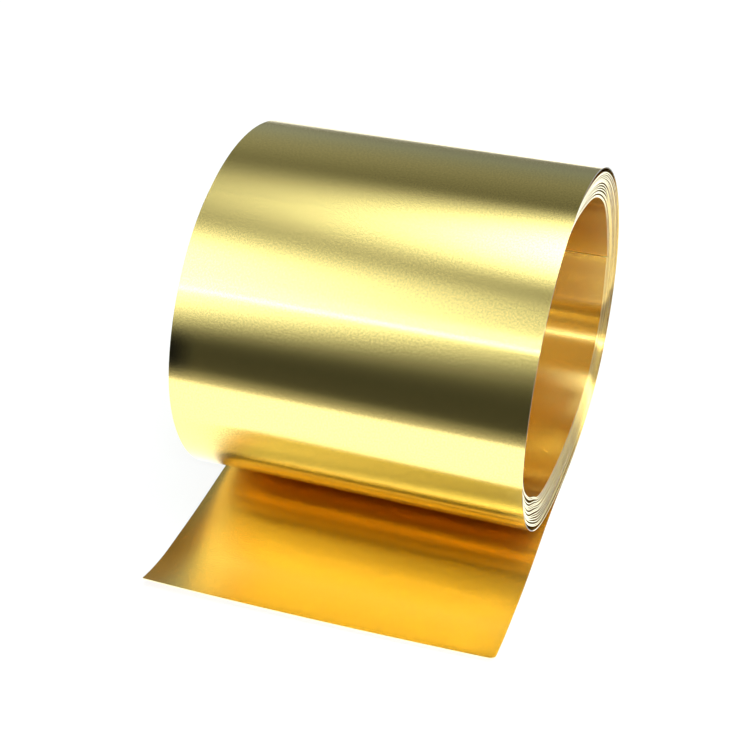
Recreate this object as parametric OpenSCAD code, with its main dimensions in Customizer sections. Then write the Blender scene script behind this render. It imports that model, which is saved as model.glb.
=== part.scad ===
// Coil of brass strip, lying on its side on the floor, with its outer end run out flat in front.
// Millimetres, +Z up. The roll's axis runs along X and the free end points towards -Y.
// The origin is on the floor, under the middle of the roll, where the roll touches down.

/* [Strip] */
// Slit width of the strip, which is the coil's length along its axis
strip_w = 100; // [40:1:200]
// Thickness of the strip
strip_t = 0.3; // [0.1:0.05:0.6]
// Radius of the two corners at the strip's free end
corner_r = 1.5; // [0.5:0.5:6]

/* [Roll] */
// Outside width of the roll, front to back
roll_w = 116; // [108:1:200]
// Height of the roll above its widest line
crown_h = 53.8; // [44:0.2:57]
// Height of the roll below its widest line, less than above it because a loose roll sags
belly_h = 43.6; // [42.2:0.2:57]
// Radius of the roll's bulging front and back
side_r = 41.2; // [30.2:0.5:42.7]
// Number of turns wound on the roll
turns = 16; // [4:1:24]
// Air left between one turn and the next
turn_gap = 0.25; // [0.1:0.05:0.4]
// How far each turn has slipped along the axis, against the turn around it
turn_slip = 0.13; // [0:0.01:0.4]
// Least depth to which the gaps between the turns are open, from the edges of the turns
gap_depth = 2; // [0.5:0.5:8]

/* [Free end] */
// Length of the free end that lies flat on the floor, from under the middle of the roll
flat_l = 66; // [40:1:150]
// Length of the last stretch, which still holds some of the roll's curl
curl_l = 20; // [5:1:50]
// Radius of that stretch, on its underside
curl_r = 75; // [40:5:300]
// How far the free end has moved sideways where its flat stretch ends
side_shift = 1; // [-4:0.1:4]

/* [Hidden] */
$fn = 180;

turn_pitch = strip_t + turn_gap;
roll_build = turns * turn_pitch - turn_gap;
// How far the innermost turn stands back from the outermost one
all_slips = (turns - 1) * turn_slip;

// The roll's section is an oval of four arcs. Neighbouring arcs run into each other smoothly, because
// they meet on the line through their two centres.
side_y = roll_w / 2 - side_r;
function arc_radius(h) = (pow(side_y, 2) + pow(h, 2) - pow(side_r, 2)) / (2 * (h - side_r));
crown_r = arc_radius(crown_h);
foot_r = arc_radius(belly_h);
crown_z = belly_h + crown_h - crown_r;
foot_z = foot_r;
side = [side_y, belly_h];
function mirrored(point) = [-point[0], point[1]];
// Direction in which the ray from a centre on the middle line leaves the back side's centre
function outward(centre_z) = (side - [0, centre_z]) / norm(side - [0, centre_z]);

// Half the size of the shapes that cut the arcs out of their circles
reach = 2 * (roll_w + foot_r);
// Angle that the curled stretch turns through, in degrees
curl_angle = curl_l / curl_r * 180 / PI;
// How far a cutting shape stands out of what it cuts
over = 1;
// A round corner is this many straight sides to the full circle, as small as it is
corner_sides = 12;

brass = "#d8b54c";

// Draws a section in the YZ plane and gives it a length along X.
module along_x(length) {
    rotate([90, 0, 90])
        linear_extrude(length, center = true)
            children();
}

// The part of a circle centred on the roll's middle line that lies past the two side centres, between
// the rays through them. The way is 1 for the crown and -1 for the foot.
module arc_between_sides(centre_z, r, way) {
    ray_end = side + reach * outward(centre_z);
    far_z = belly_h + way * 2 * reach;
    intersection() {
        translate([0, centre_z])
            circle(r);
        polygon([side, ray_end, [ray_end[0], far_z], [-ray_end[0], far_z], mirrored(ray_end), mirrored(side)]);
    }
}

// The roll's section, taken in by the same amount all round.
module oval(inset) {
    arc_between_sides(crown_z, crown_r - inset, 1);
    arc_between_sides(foot_z, foot_r - inset, -1);
    for (centre = [side, mirrored(side)])
        translate(centre)
            circle(side_r - inset);
}

// The band between two insets of the section.
module oval_band(outer_inset, inner_inset) {
    difference() {
        oval(outer_inset);
        oval(inner_inset);
    }
}

// Section of the free end's last stretch, curling up a little. It runs on past the strip's edge, where
// the end cut trims it.
module curl_section() {
    trimmed_angle = curl_angle + over / curl_r * 180 / PI;
    intersection() {
        difference() {
            circle(curl_r);
            circle(curl_r - strip_t);
        }
        polygon([[0, 0], [0, -2 * curl_r], 2 * curl_r * [-sin(trimmed_angle), -cos(trimmed_angle)]]);
    }
}

// Trims the curled stretch to its length and rounds its two corners, square to the strip where it ends.
module end_cut() {
    translate([0, 0, curl_r])
        rotate([-curl_angle, 0, 0])
            translate([0, 0, -curl_r - over])
                linear_extrude(strip_t + 2 * over)
                    difference() {
                        translate([0, corner_r / 2 - over])
                            square([strip_w + 2 * over, corner_r + 2 * over], center = true);
                        translate([0, (corner_r + over) / 2])
                            square([strip_w - 2 * corner_r, corner_r + over], center = true);
                        for (edge = [-1, 1])
                            translate([edge * (strip_w / 2 - corner_r), corner_r])
                                circle(corner_r, $fn = corner_sides);
                    }
}

// The wound turns, each slipped a little further than the one around it. The core that joins them ends
// short of all their edges, so that the turns and the gaps between them show at both ends.
module wound_turns() {
    for (turn = [0:turns - 1])
        translate([-turn * turn_slip, 0, 0])
            along_x(strip_w)
                oval_band(turn * turn_pitch, turn * turn_pitch + strip_t);
    translate([-all_slips / 2, 0, 0])
        along_x(strip_w - all_slips - 2 * gap_depth)
            oval_band(strip_t / 2, roll_build - strip_t / 2);
}

// The free end: flat on the floor from the line where the roll touches it, wandering a little to one
// side, and then curled.
module free_end() {
    linear_extrude(strip_t)
        polygon([
            [-strip_w / 2, 0],
            [strip_w / 2, 0],
            [strip_w / 2 + side_shift, -flat_l],
            [side_shift - strip_w / 2, -flat_l]
        ]);
    translate([side_shift, -flat_l, 0])
        difference() {
            along_x(strip_w)
                translate([0, curl_r])
                    curl_section();
            end_cut();
        }
}

// The whole strip: the wound roll with its open bore, and the free end that runs out from under it.
module brass_strip() {
    color(brass) {
        wound_turns();
        free_end();
    }
}

brass_strip();
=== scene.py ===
# Looks of the coil of brass strip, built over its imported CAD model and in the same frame:
# +X along the roll's axis, the strip's free end towards -Y, +Z up, and the floor at z = 0.
# Sizes are in millimetres until they are handed to Blender, which works in metres.

import math

import bmesh
import bpy
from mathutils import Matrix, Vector, noise


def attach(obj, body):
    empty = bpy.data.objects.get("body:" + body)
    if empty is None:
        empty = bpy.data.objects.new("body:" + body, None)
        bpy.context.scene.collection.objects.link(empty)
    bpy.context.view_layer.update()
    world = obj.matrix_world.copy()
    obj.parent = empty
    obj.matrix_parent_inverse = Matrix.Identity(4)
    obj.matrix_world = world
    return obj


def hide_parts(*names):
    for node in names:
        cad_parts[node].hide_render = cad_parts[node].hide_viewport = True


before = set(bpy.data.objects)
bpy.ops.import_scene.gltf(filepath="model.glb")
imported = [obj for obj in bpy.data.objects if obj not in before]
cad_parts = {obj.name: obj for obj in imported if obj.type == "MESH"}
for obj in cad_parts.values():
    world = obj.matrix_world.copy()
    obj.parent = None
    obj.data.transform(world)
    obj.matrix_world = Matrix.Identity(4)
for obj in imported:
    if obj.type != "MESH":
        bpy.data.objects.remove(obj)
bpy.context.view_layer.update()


# The wound strip

# One length of thin brass strip, cold rolled, slit to width and wound by hand into a loose oval
# roll. It is drawn turn by turn, as a ribbon with its real thickness, from the free end in front
# of the roll to the inner end in the bore.

MM = 0.001               # a millimetre in Blender's metres

STRIP_WIDTH = 100.0
STRIP_THICKNESS = 0.3
TURNS = 15               # whole turns, up to the one that holds the inner end
INNER_END_ANGLE = 102.0  # where in the bore the strip ends
RUN_IN_ANGLE = 250.0     # where the outermost turn starts to run in over the free end

# The roll's section is an oval of four arcs: a foot, a back, a crown and a front. Its places are
# in YZ, and every angle of the roll is in degrees from straight down by way of the back.
SIDE_RADIUS = 41.2       # of the back and of the front
SIDE_Y = 16.8            # how far their centres stand from the middle
SIDE_Z = 43.6            # and how high
FOOT_RADIUS = 101.2
CROWN_RADIUS = 58.7
CROWN_Z = 38.7           # height of the crown's centre

# Neighbouring arcs meet on the line through their centres, and so run smoothly into each other.
FOOT_HALF_ANGLE = math.degrees(math.asin(SIDE_Y / (FOOT_RADIUS - SIDE_RADIUS)))
CROWN_HALF_ANGLE = math.degrees(math.asin(SIDE_Y / (CROWN_RADIUS - SIDE_RADIUS)))

# Each arc's end, centre and radius, and the steps in which it is drawn
OVAL_ARCS = [
    (FOOT_HALF_ANGLE, (0.0, FOOT_RADIUS), FOOT_RADIUS, 8),
    (180 - CROWN_HALF_ANGLE, (SIDE_Y, SIDE_Z), SIDE_RADIUS, 28),
    (180 + CROWN_HALF_ANGLE, (0.0, CROWN_Z), CROWN_RADIUS, 52),
    (360 - FOOT_HALF_ANGLE, (-SIDE_Y, SIDE_Z), SIDE_RADIUS, 28),
    (360, (0.0, FOOT_RADIUS), FOOT_RADIUS, 8),
]

# Turns are counted from the outermost one, which is turn 0.
TIGHT_GAP = 0.03         # air between two turns that lie against each other
LOOSE_GAP = 0.42         # how much more of it there is between two that don't
GAP_SWING = 1.3          # how sharply the turns change from tight to loose
PRESSED_END = 0.25       # the part of a turn in which the inner end comes to lie tight

# Stretches with more air around a turn: the first and the last turn that have it, the angle, how
# far it reaches to each side, and how much air it is
LIFTED_STRETCHES = [
    (1, 1, 170, 44, 1.5),                  # the outermost turn has sprung off the rest at the crown
    (1, 1, 320, 20, 0.6),                  # and under the front
    (10, TURNS, 309, 30, 0.13),            # the inner turns have lifted off the front of the foot
    (TURNS - 2, TURNS - 2, 309, 30, 0.4),  # and one of them further
]

# Behind that, the inner turns lie tighter than the rest: the first of them, the angle, how far it
# reaches to each side, and the share of the air that is gone
TIGHT_STRETCH_TURN = 10
TIGHT_STRETCH_ANGLE = 345
TIGHT_STRETCH_REACH = 28
TIGHT_STRETCH_SHARE = 0.35

TURN_SLIP = 0.115        # how far a turn stands back from the one around it, at the +X end
SLIP_WANDER = 0.06       # how far it strays from that
OUTER_TURN_SLIP = 0.15   # how much further the outermost turn stands out
OUTER_TURN_END = 0.85    # where it starts to fall in with the rest, in turns
OUTER_TURN_FALL = 0.5    # and within how much of a turn it does

# The strip wanders on a smooth noise, which is read on a helix: once round it for each turn.
NOISE_SWING = 1.7        # brings the noise to between about -1 and 1
NOISE_RADIUS = 1.1       # a larger helix changes faster round a turn
NOISE_PITCH = 0.83       # and a steeper one from turn to turn
GAP_SEED = 3.1           # where the helix starts for the gaps
SLIP_SEED = 40.7         # and for the slips

# Dents that the innermost turn has taken from handling: place along X, angle, half sizes along X
# and round the roll, and depth into the bore
DENTS = [
    (44.5, 14.0, 4.0, 5.0, 0.14),
    (46.0, 6.5, 4.0, 2.5, -0.1),
    (42.0, 359.0, 7.0, 2.0, 0.08),
]
DENT_CIRCLE = 60.0       # radius at which their size round the roll is taken
DENTED_FROM = 14.6       # where the innermost turn begins, in turns

# The free end lies flat, moves a little sideways on its way out, and curls up at its edge.
FREE_END_LENGTH = 85.9
SIDE_SHIFT = 1.0         # how far it moves towards +X
SHIFT_START = 10.0       # how far in front of the roll's foot that begins
SHIFT_LENGTH = 50.0      # and over what length it happens
CURL_LENGTH = 17.0
CURL_RISE_LEFT = 2.3
CURL_RISE_RIGHT = 1.25
EDGE_SKEW = 2.9          # how much further the left corner reaches than the right one
CORNER_RADIUS_LEFT = 0.4
CORNER_RADIUS_RIGHT = 2.0

# Grid lines along the free end, by their distance from its edge and closer together at its corners
FREE_END_STEPS = [0, 0.15, 0.4, 0.8, 1.3, 2, 3] + [2.0 * n for n in range(2, 43)]

# Grid lines across the strip, as shares of its width, closer together towards the +X end
ACROSS = [0, 0.02, 0.08, 0.2, 0.35, 0.5, 0.65, 0.78, 0.86, 0.89, 0.91, 0.93, 0.95, 0.97, 0.985, 1]

FACE_SLOT = 0            # the rolled faces' place in the list of materials
EDGE_SLOT = 1            # and the cut edges'


def ease(t):
    """Goes from 0 to 1 smoothly as t does."""
    t = min(max(t, 0.0), 1.0)
    return t * t * (3 - 2 * t)


def hump(angle, middle, reach):
    """A smooth hump of height 1 round an angle of the roll."""
    away = abs((angle - middle + 180) % 360 - 180)
    return ease(1 - away / reach)


def wander(turn, angle, seed):
    """A number between about -1 and 1 that changes slowly round a turn and from turn to turn."""
    radians = math.radians(angle)
    turned = turn + angle / 360
    y = NOISE_RADIUS * math.cos(radians)
    z = NOISE_RADIUS * math.sin(radians)
    return NOISE_SWING * noise.noise((y, z, NOISE_PITCH * turned + seed))


def gap_under(turn, angle):
    """Air between a turn and the turn around it, at an angle."""
    looseness = ease(0.5 + GAP_SWING * wander(turn, angle, GAP_SEED))
    looseness *= 1 - ease((turn + angle / 360 - TURNS) / PRESSED_END)
    gap = TIGHT_GAP + LOOSE_GAP * looseness
    if turn >= TIGHT_STRETCH_TURN:
        tightness = TIGHT_STRETCH_SHARE * hump(angle, TIGHT_STRETCH_ANGLE, TIGHT_STRETCH_REACH)
        gap -= tightness * (gap - TIGHT_GAP)
    for first, last, middle, reach, air in LIFTED_STRETCHES:
        if first <= turn <= last:
            gap += air * hump(angle, middle, reach)
    return gap


def angles_of_a_turn():
    """The angles at which a turn is drawn."""
    angles = []
    start = 0.0
    for end, _, _, steps in OVAL_ARCS:
        angles += [start + (end - start) * n / steps for n in range(steps)]
        start = end
    return angles


def oval_point(angle, depth):
    """A point of the section, so deep in the roll, and its outward direction."""
    centre, radius = next((row[1], row[2]) for row in OVAL_ARCS if angle <= row[0])
    outward = Vector((0, math.sin(math.radians(angle)), -math.cos(math.radians(angle))))
    return Vector((0, centre[0], centre[1])) + (radius - depth) * outward, outward


def dent_depth(x, turn, angle):
    """How far the innermost turn is pushed into the bore at a place."""
    if turn + angle / 360 < DENTED_FROM:
        return 0.0
    depth = 0.0
    for dent_x, dent_angle, half_x, half_round, height in DENTS:
        away = (angle - dent_angle + 180) % 360 - 180
        round_the_roll = math.radians(away) * DENT_CIRCLE
        distance = math.hypot((x - dent_x) / half_x, round_the_roll / half_round)
        depth += height * ease(1 - distance)
    return depth


def slip_of_turn(turn, angle):
    """How far the strip stands back from the outermost turn's edge, at the +X end."""
    turned = turn + angle / 360
    # The outermost turn begins in line, and the innermost ones don't stray.
    straying = ease(turned) * ease((TURNS - 1 - turned) / 2)
    slip = TURN_SLIP * turned + SLIP_WANDER * wander(turn, angle, SLIP_SEED) * straying
    return slip + OUTER_TURN_SLIP * ease((turned - OUTER_TURN_END) / OUTER_TURN_FALL)


def roll_rows():
    """Rows of outer points, inner points and length of strip, turn by turn into the bore."""
    rows = []
    depths = []
    angles = angles_of_a_turn()
    length = FREE_END_LENGTH
    before = None
    last = TURNS + INNER_END_ANGLE / 360
    turn = 0
    first_drop = STRIP_THICKNESS + gap_under(1, 0)
    while True:
        for angle in angles:
            if turn + angle / 360 > last:
                return rows
            if turn == 0:
                # The outermost turn has to come to lie on top of the free end.
                depth = first_drop * ease((angle - RUN_IN_ANGLE) / (360 - RUN_IN_ANGLE))
            else:
                depth = depths[-len(angles)] + STRIP_THICKNESS + gap_under(turn, angle)
            depths.append(depth)
            place, outward = oval_point(angle, depth)
            if before:
                length += (place - before).length
            before = place
            slip = slip_of_turn(turn, angle)
            outer = []
            for across in ACROSS:
                x = STRIP_WIDTH * (across - 0.5) - slip
                pushed = dent_depth(x, turn, angle)
                outer.append(Vector((x, 0, 0)) + place - outward * pushed)
            inner = [point - outward * STRIP_THICKNESS for point in outer]
            rows.append((outer, inner, length))
        turn += 1


def corner_cut(distance, radius):
    """How much a rounded corner takes off the strip's side, at a distance from the strip's edge."""
    if distance >= radius:
        return 0.0
    return radius - math.sqrt(radius ** 2 - (radius - distance) ** 2)


def free_end_rows():
    """Rows of the same kind for the free end, from its edge to where the roll touches the floor."""
    rows = []
    for distance in FREE_END_STEPS:
        curl = max(0.0, 1 - distance / CURL_LENGTH)
        shift = SIDE_SHIFT * ease((FREE_END_LENGTH - distance - SHIFT_START) / SHIFT_LENGTH)
        left = corner_cut(distance, CORNER_RADIUS_LEFT) - STRIP_WIDTH / 2
        right = STRIP_WIDTH / 2 - corner_cut(distance, CORNER_RADIUS_RIGHT)
        outer = []
        inner = []
        for across in ACROSS:
            # The curl is a parabola, which shortens the strip's reach as it rises.
            rise = CURL_RISE_RIGHT + (CURL_RISE_LEFT - CURL_RISE_RIGHT) * (1 - across) ** 2
            slope = 2 * rise * curl / CURL_LENGTH
            shortened = 2 / 3 * rise ** 2 / CURL_LENGTH * curl ** 3
            y = distance - FREE_END_LENGTH + shortened + EDGE_SKEW * across ** 1.5 * curl
            point = Vector((left + (right - left) * across + shift, y, rise * curl ** 2))
            outer.append(point)
            inner.append(point + Vector((0, slope, 1)).normalized() * STRIP_THICKNESS)
        rows.append((outer, inner, distance))
    return rows


def strip_mesh():
    """The whole ribbon as one closed mesh. Its map is its width and its length in metres."""
    rows = free_end_rows() + roll_rows()
    mesh = bmesh.new()
    uv = mesh.loops.layers.uv.new("strip")
    count = len(ACROSS)
    size = 2 * count
    us = [STRIP_WIDTH * MM * across for across in ACROSS + ACROSS[::-1]]
    rings = []
    for outer, inner, _ in rows:
        rings.append([mesh.verts.new(point * MM) for point in outer + inner[::-1]])
    for n in range(len(rings) - 1):
        for i in range(size):
            j = (i + 1) % size
            face = mesh.faces.new((rings[n][i], rings[n][j], rings[n + 1][j], rings[n + 1][i]))
            face.material_index = EDGE_SLOT if i in (count - 1, size - 1) else FACE_SLOT
            for loop, (k, row) in zip(face.loops, ((i, n), (j, n), (j, n + 1), (i, n + 1))):
                loop[uv].uv = (us[k], rows[row][2] * MM)
    for ring in (rings[0], rings[-1]):
        for i in range(count - 1):
            face = mesh.faces.new((ring[i], ring[i + 1], ring[size - 2 - i], ring[size - 1 - i]))
            face.material_index = EDGE_SLOT
    for face in mesh.faces:
        face.smooth = True
    # The faces are smooth, and meet the cut edges in a sharp corner.
    for edge in mesh.edges:
        edge.smooth = len({face.material_index for face in edge.link_faces}) == 1
    bmesh.ops.recalc_face_normals(mesh, faces=mesh.faces)
    data = bpy.data.meshes.new("brass_strip_wound")
    mesh.to_mesh(data)
    mesh.free()
    return data


def linear(hex_colour):
    """An sRGB colour such as "#d8b54c", as the linear values that a shader takes."""
    values = [int(hex_colour[i:i + 2], 16) / 255 for i in (1, 3, 5)]
    return [v / 12.92 if v <= 0.04045 else ((v + 0.055) / 1.055) ** 2.4 for v in values] + [1.0]


def add_node(tree, kind, settings=None, links=None):
    """Adds a node. Settings name its properties or inputs, and links name an input's source."""
    node = tree.nodes.new(kind)
    for name, value in (settings or {}).items():
        if isinstance(name, int) or name in node.inputs:
            node.inputs[name].default_value = value
        else:
            setattr(node, name, value)
    for name, source in (links or {}).items():
        tree.links.new(source, node.inputs[name])
    return node


def new_material(name):
    """An empty material, its node tree and its output node."""
    material = bpy.data.materials.new(name)
    material.use_nodes = True
    material.node_tree.nodes.clear()
    return material, material.node_tree, add_node(material.node_tree, "ShaderNodeOutputMaterial")


# Rolling lines and grain. The grain is drawn as coarse as it needs to show.
LINES_PER_MM = 3.3       # across the strip
LINE_LENGTH = 20.0
LINE_HEIGHT = 0.4        # against the grain's
GRAINS_PER_MM = 2.0      # across the strip
GRAINS_PER_MM_ALONG = 1.7
GRAIN_HEIGHT = 0.03

# Patches at the strip's left edge: how far along the strip they are, then how far from there and
# how far in from the edge they begin to fade and have gone, and their colour
PATCHES = [
    (0.0, (12.0, 55.0), (2.0, 11.0), "#e6ab50"),  # amber from handling, deepest at the corner
    (327.0, (1.0, 8.5), (0.0, 9.0), "#6d634d"),   # a dark smudge on the roll's front
]


def rolled_brass():
    """Cold-rolled brass with a bright mill finish. The rolls leave fine lines along the strip, so
    it mirrors sharply along its length and smears what it mirrors across its width, with a grain."""
    material, tree, output = new_material("rolled_brass")
    uv = add_node(tree, "ShaderNodeUVMap", {"uv_map": "strip"}).outputs["UV"]
    line_scale = (LINES_PER_MM / MM, 1 / (LINE_LENGTH * MM), 1.0)
    grain_scale = (GRAINS_PER_MM / MM, GRAINS_PER_MM_ALONG / MM, 1.0)
    patterns = []
    for scale in (line_scale, grain_scale):
        place = add_node(tree, "ShaderNodeMapping", {"Scale": scale}, {"Vector": uv})
        pattern = add_node(
            tree,
            "ShaderNodeTexNoise",
            {"Scale": 1.0, "Detail": 2.0},
            {"Vector": place.outputs["Vector"]},
        )
        patterns.append(pattern.outputs["Fac"])
    lines, grain = patterns
    height = add_node(
        tree,
        "ShaderNodeMath",
        {"operation": "MULTIPLY_ADD", 1: LINE_HEIGHT},
        {0: lines, 2: grain},
    )
    bump = add_node(
        tree,
        "ShaderNodeBump",
        {"Strength": 0.03, "Distance": GRAIN_HEIGHT * MM},
        {"Height": height.outputs["Value"]},
    )
    tangent = add_node(tree, "ShaderNodeTangent", {"direction_type": "UV_MAP", "uv_map": "strip"})
    # The grain's noise stays near its middle, so that part of it is spread over both tints.
    grain_share = add_node(
        tree,
        "ShaderNodeMapRange",
        {"From Min": 0.35, "From Max": 0.65},
        {"Value": grain},
    )
    colour = add_node(
        tree,
        "ShaderNodeMix",
        {"data_type": "RGBA", "A": linear("#dfc77c"), "B": linear("#f4d989")},
        {"Factor": grain_share.outputs["Result"]},
    )
    where = add_node(tree, "ShaderNodeSeparateXYZ", {}, {"Vector": uv})
    for start, along, across, shade in PATCHES:
        offset = add_node(
            tree,
            "ShaderNodeMath",
            {"operation": "SUBTRACT", 1: start * MM},
            {0: where.outputs["Y"]},
        )
        away = add_node(
            tree,
            "ShaderNodeMath",
            {"operation": "ABSOLUTE"},
            {0: offset.outputs["Value"]},
        )
        fades = []
        for distance, (full, gone) in ((away.outputs["Value"], along), (where.outputs["X"], across)):
            fade = {"From Min": full * MM, "From Max": gone * MM, "To Min": 1.0, "To Max": 0.0}
            fade["interpolation_type"] = "SMOOTHSTEP"
            fades.append(add_node(tree, "ShaderNodeMapRange", fade, {"Value": distance}))
        share = add_node(
            tree,
            "ShaderNodeMath",
            {"operation": "MULTIPLY"},
            {0: fades[0].outputs["Result"], 1: fades[1].outputs["Result"]},
        )
        colour = add_node(
            tree,
            "ShaderNodeMix",
            {"data_type": "RGBA", "B": linear(shade)},
            {"Factor": share.outputs["Value"], "A": colour.outputs["Result"]},
        )
    shader = add_node(
        tree,
        "ShaderNodeBsdfPrincipled",
        {"Metallic": 1.0, "Roughness": 0.2, "Anisotropic": 0.95},
        {
            "Base Color": colour.outputs["Result"],
            "Normal": bump.outputs["Normal"],
            "Tangent": tangent.outputs["Tangent"],
        },
    )
    tree.links.new(shader.outputs["BSDF"], output.inputs["Surface"])
    return material


SHADED_EDGE_MIDDLE = 285.0      # middle of the stretch of the outermost turn whose cut edge is painted dark, as painted shade
SHADED_EDGE_HALF_LENGTH = 95.0
TINTS_PER_100_MM = 12.0  # how often the edge's tint changes


def slit_edge():
    """The edge that the slitting shears leave: the same brass, paler, and a little rougher. Over a
    stretch of the outermost turn, from the back of the crown over the top and down the front, it is
    painted dark: painted shade."""
    material, tree, output = new_material("slit_edge")
    uv = add_node(tree, "ShaderNodeUVMap", {"uv_map": "strip"}).outputs["UV"]
    wear_scale = (1.0, TINTS_PER_100_MM / (100 * MM), 1.0)
    place = add_node(tree, "ShaderNodeMapping", {"Scale": wear_scale}, {"Vector": uv})
    wear = add_node(
        tree,
        "ShaderNodeTexNoise",
        {"Scale": 1.0, "Detail": 3.0},
        {"Vector": place.outputs["Vector"]},
    )
    tint = add_node(
        tree,
        "ShaderNodeMix",
        {"data_type": "RGBA", "A": linear("#cabd8e"), "B": linear("#efe5c2")},
        {"Factor": wear.outputs["Fac"]},
    )
    where = add_node(tree, "ShaderNodeSeparateXYZ", {}, {"Vector": uv})
    # Painted shade: the cut edge is painted a dark brown over one stretch of the outermost turn.
    painted_edge_shade = add_node(
        tree,
        "ShaderNodeMath",
        {"operation": "COMPARE", 1: SHADED_EDGE_MIDDLE * MM, 2: SHADED_EDGE_HALF_LENGTH * MM},
        {0: where.outputs["Y"]},
    )
    colour = add_node(
        tree,
        "ShaderNodeMix",
        {"data_type": "RGBA", "B": linear("#4a4028")},
        {"Factor": painted_edge_shade.outputs["Value"], "A": tint.outputs["Result"]},
    )
    shader = add_node(
        tree,
        "ShaderNodeBsdfPrincipled",
        {"Metallic": 1.0, "Roughness": 0.35},
        {"Base Color": colour.outputs["Result"]},
    )
    tree.links.new(shader.outputs["BSDF"], output.inputs["Surface"])
    return material


strip = bpy.data.objects.new("brass_strip_wound", strip_mesh())
bpy.context.collection.objects.link(strip)
strip.data.materials.append(rolled_brass())
strip.data.materials.append(slit_edge())
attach(strip, "root")
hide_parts("brass_strip")


# The floor

# A sheet of matt white paper that lies under the coil and ends a little way in front of it. It
# isn't part of the object. It shows white, also in the brass, and keeps a faint shadow.

FLOOR_FRONT = -225.0
FLOOR_BACK = 600.0
FLOOR_SIDE = 700.0
FLOOR_DROP = 0.02        # so that the strip's underside and the paper don't share a plane

FIBRES = 900.0           # along each side of the sheet, which makes them about 1.5 mm long
SEEN_WHITE = 0.96        # strength of the plain white that the camera sees
MIRRORED_WHITE = 2.2     # and of the one in the brass, about as bright as the lamps make the paper
SEEN_SHARE = 0.85        # how much of the paper that plain white hides, shadow and all
MIRRORED_SHARE = 0.6     # and how much of it in the brass


def white_paper():
    """Matt white paper, which shows the eye an even white with a trace of its fibres. A plain
    white covers most of it for the camera, and less of it, but brighter, in the brass."""
    material, tree, output = new_material("white_paper")
    fibres = add_node(tree, "ShaderNodeTexNoise", {"Scale": FIBRES})
    tint = add_node(
        tree,
        "ShaderNodeMix",
        {"data_type": "RGBA", "A": linear("#f4f4f2"), "B": linear("#ffffff")},
        {"Factor": fibres.outputs["Fac"]},
    )
    matt = add_node(tree, "ShaderNodeBsdfDiffuse", {}, {"Color": tint.outputs["Result"]})
    ray = add_node(tree, "ShaderNodeLightPath")
    strength = add_node(
        tree,
        "ShaderNodeMath",
        {"operation": "MULTIPLY_ADD", 1: MIRRORED_WHITE - SEEN_WHITE, 2: SEEN_WHITE},
        {0: ray.outputs["Is Glossy Ray"]},
    )
    plain = add_node(
        tree,
        "ShaderNodeEmission",
        {"Color": linear("#ffffff")},
        {"Strength": strength.outputs["Value"]},
    )
    seen = add_node(
        tree,
        "ShaderNodeMath",
        {"operation": "MULTIPLY", 1: SEEN_SHARE},
        {0: ray.outputs["Is Camera Ray"]},
    )
    share = add_node(
        tree,
        "ShaderNodeMath",
        {"operation": "MULTIPLY_ADD", 1: MIRRORED_SHARE},
        {0: ray.outputs["Is Glossy Ray"], 2: seen.outputs["Value"]},
    )
    mix = add_node(
        tree,
        "ShaderNodeMixShader",
        {},
        {0: share.outputs["Value"], 1: matt.outputs["BSDF"], 2: plain.outputs["Emission"]},
    )
    tree.links.new(mix.outputs["Shader"], output.inputs["Surface"])
    return material


floor_corners = [
    Vector((-FLOOR_SIDE, FLOOR_FRONT, -FLOOR_DROP)),
    Vector((FLOOR_SIDE, FLOOR_FRONT, -FLOOR_DROP)),
    Vector((FLOOR_SIDE, FLOOR_BACK, -FLOOR_DROP)),
    Vector((-FLOOR_SIDE, FLOOR_BACK, -FLOOR_DROP)),
]
floor_data = bpy.data.meshes.new("floor")
floor_data.from_pydata([corner * MM for corner in floor_corners], [], [(0, 1, 2, 3)])
floor = bpy.data.objects.new("floor", floor_data)
bpy.context.collection.objects.link(floor)
floor.data.materials.append(white_paper())


# The studio

# A dim room with a large soft lamp over the coil, a second one in front of that and to the left, a
# thin tube below the second, a window far to the right, and a pale wall behind the coil to the left.
# The brass shows them as its pale bands and the room as its olive ones.

# The room's colours by height, which is in degrees round the coil's axis from straight ahead (-Y)
# by way of straight up: pale just under the horizon, dark over it, dim above and cooler behind
ROOM = [
    (-180, "#82867f"),
    (-90, "#82867f"),
    (-60, "#82867f"),
    (-22, "#eef1ec"),
    (-13, "#a3a7a0"),
    (-5, "#3b3e38"),
    (4, "#3d403a"),
    (12, "#363933"),
    (28, "#23251f"),
    (42, "#949a8f"),
    (60, "#6f746c"),
    (80, "#3a3d36"),
    (122, "#4f524b"),
    (135, "#737870"),
    (150, "#8c928a"),
    (168, "#8b979a"),
    (180, "#838c8b"),
]
LAMP_COLOUR = "#f3ffff"

world = bpy.data.worlds.new("studio")
bpy.context.scene.world = world
world.use_nodes = True
tree = world.node_tree
tree.nodes.clear()

# A direction's height as above, and its side, which is its slope towards +X
direction = add_node(tree, "ShaderNodeTexCoord")
towards = add_node(tree, "ShaderNodeSeparateXYZ", {}, {"Vector": direction.outputs["Generated"]})
ahead = add_node(
    tree,
    "ShaderNodeMath",
    {"operation": "MULTIPLY", 1: -1.0},
    {0: towards.outputs["Y"]},
)
angle = add_node(
    tree,
    "ShaderNodeMath",
    {"operation": "ARCTAN2"},
    {0: towards.outputs["Z"], 1: ahead.outputs["Value"]},
)
height = add_node(
    tree,
    "ShaderNodeMath",
    {"operation": "DEGREES"},
    {0: angle.outputs["Value"]},
)
across_axis = add_node(
    tree,
    "ShaderNodeCombineXYZ",
    {},
    {"Y": towards.outputs["Y"], "Z": towards.outputs["Z"]},
)
distance = add_node(
    tree,
    "ShaderNodeVectorMath",
    {"operation": "LENGTH"},
    {"Vector": across_axis.outputs["Vector"]},
)
side = add_node(
    tree,
    "ShaderNodeMath",
    {"operation": "DIVIDE"},
    {0: towards.outputs["X"], 1: distance.outputs["Value"]},
)

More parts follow.
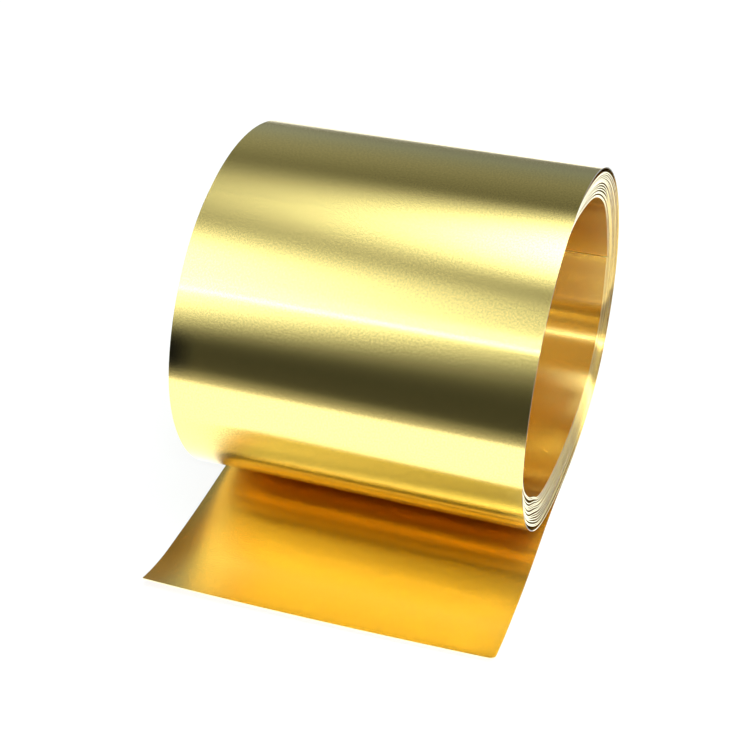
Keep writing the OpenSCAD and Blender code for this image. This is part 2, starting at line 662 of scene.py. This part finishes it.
ramp_place = add_node(
    tree,
    "ShaderNodeMapRange",
    {"From Min": -180.0, "From Max": 180.0},
    {"Value": height.outputs["Value"]},
)
room = add_node(tree, "ShaderNodeValToRGB", {}, {"Fac": ramp_place.outputs["Result"]})
stops = room.color_ramp.elements
for i, (degrees, shade) in enumerate(ROOM):
    # The ramp comes with two stops.
    stop = stops[i] if i < 2 else stops.new(1.0)
    stop.position = (degrees + 180) / 360
    stop.color = linear(shade)


def lamp(strength, low, high, left, right, low_lean=0.0, high_lean=0.0):
    """A soft lamp's light. Each edge is a pair: where its light begins and where it is full.

    The lower and the upper edge come down by so many degrees for each unit of side.
    """
    edges = [(side, left), (side, right)]
    for lean, ends in ((low_lean, low), (high_lean, high)):
        leaning_height = add_node(
            tree,
            "ShaderNodeMath",
            {"operation": "MULTIPLY_ADD", 1: lean},
            {0: side.outputs["Value"], 2: height.outputs["Value"]},
        )
        edges.append((leaning_height, ends))
    steps = []
    for place, (begins, full) in edges:
        step = add_node(
            tree,
            "ShaderNodeMapRange",
            {"interpolation_type": "SMOOTHSTEP", "From Min": begins, "From Max": full},
            {"Value": place.outputs["Value"]},
        )
        steps.append(step.outputs["Result"])
    light = add_node(tree, "ShaderNodeMath", {"operation": "MULTIPLY", 1: strength}, {0: steps[0]})
    for step in steps[1:]:
        light = add_node(
            tree,
            "ShaderNodeMath",
            {"operation": "MULTIPLY"},
            {0: light.outputs["Value"], 1: step},
        )
    return light.outputs["Value"]


lamps = [
    # The large lamp over the coil
    lamp(
        8.5,
        low=(69.0, 97.0),
        high=(130.0, 99.0),
        left=(-0.23, -0.12),
        right=(0.8, 0.3),
        low_lean=-5.5,
        high_lean=-12.0,
    ),
    # The lamp in front and to the left, a wedge that narrows to the right
    lamp(
        5.0,
        low=(35.2, 63.5),
        high=(59.5, 36.3),
        left=(-1.0, -0.6),
        right=(-0.14, -0.6),
        low_lean=-42.7,
        high_lean=51.0,
    ),
    # The pale wall behind the coil, to the left
    lamp(0.08, low=(125.0, 145.0), high=(190.0, 175.0), left=(-2.0, -1.5), right=(-0.27, -0.42)),
    # The tube
    lamp(7.5, low=(39.2, 39.7), high=(41.0, 40.5), left=(-0.75, -0.15), right=(0.14, 0.0)),
    # The tube's near end, which leaves the white line in the bore
    lamp(90.0, low=(43.2, 43.7), high=(45.6, 45.1), left=(0.12, 0.25), right=(0.9, 0.6)),
    # The window far to the right, which lights the bore
    lamp(2.4, low=(-20.0, 30.0), high=(180.0, 140.0), left=(0.35, 0.9), right=(90.0, 80.0)),
]
studio = add_node(tree, "ShaderNodeBackground", {"Strength": 1.0}, {"Color": room.outputs["Color"]})
for strength in lamps:
    lit = add_node(
        tree,
        "ShaderNodeBackground",
        {"Color": linear(LAMP_COLOUR)},
        {"Strength": strength},
    )
    studio = add_node(tree, "ShaderNodeAddShader", {}, {0: studio.outputs[0], 1: lit.outputs[0]})

# The camera itself sees plain white behind the floor.
white = add_node(tree, "ShaderNodeBackground", {"Color": linear("#ffffff"), "Strength": 1.0})
ray = add_node(tree, "ShaderNodeLightPath")
seen = add_node(
    tree,
    "ShaderNodeMixShader",
    {},
    {0: ray.outputs["Is Camera Ray"], 1: studio.outputs[0], 2: white.outputs["Background"]},
)
add_node(tree, "ShaderNodeOutputWorld", {}, {"Surface": seen.outputs["Shader"]})


# The camera

# It stands where the photograph was taken from: in front of the coil, a little to its right, and
# looking down on it.

LENS = 70.38
SENSOR_WIDTH = 36.0
CAMERA_PLACE = (115.71, -349.78, 274.64)
CAMERA_TURN = (56.004, 0.495, 19.593)  # degrees about X, Y and Z
BOUNCES = 14

camera_data = bpy.data.cameras.new("camera")
camera_data.lens = LENS
camera_data.sensor_width = SENSOR_WIDTH
camera = bpy.data.objects.new("camera", camera_data)
camera.location = Vector(CAMERA_PLACE) * MM
camera.rotation_euler = [math.radians(turn) for turn in CAMERA_TURN]
bpy.context.collection.objects.link(camera)
bpy.context.scene.camera = camera

bpy.context.scene.view_settings.view_transform = "Standard"
# The brass mirrors itself many times over between the roll and its free end, and in the bore.
bpy.context.scene.cycles.max_bounces = BOUNCES
bpy.context.scene.cycles.glossy_bounces = BOUNCES
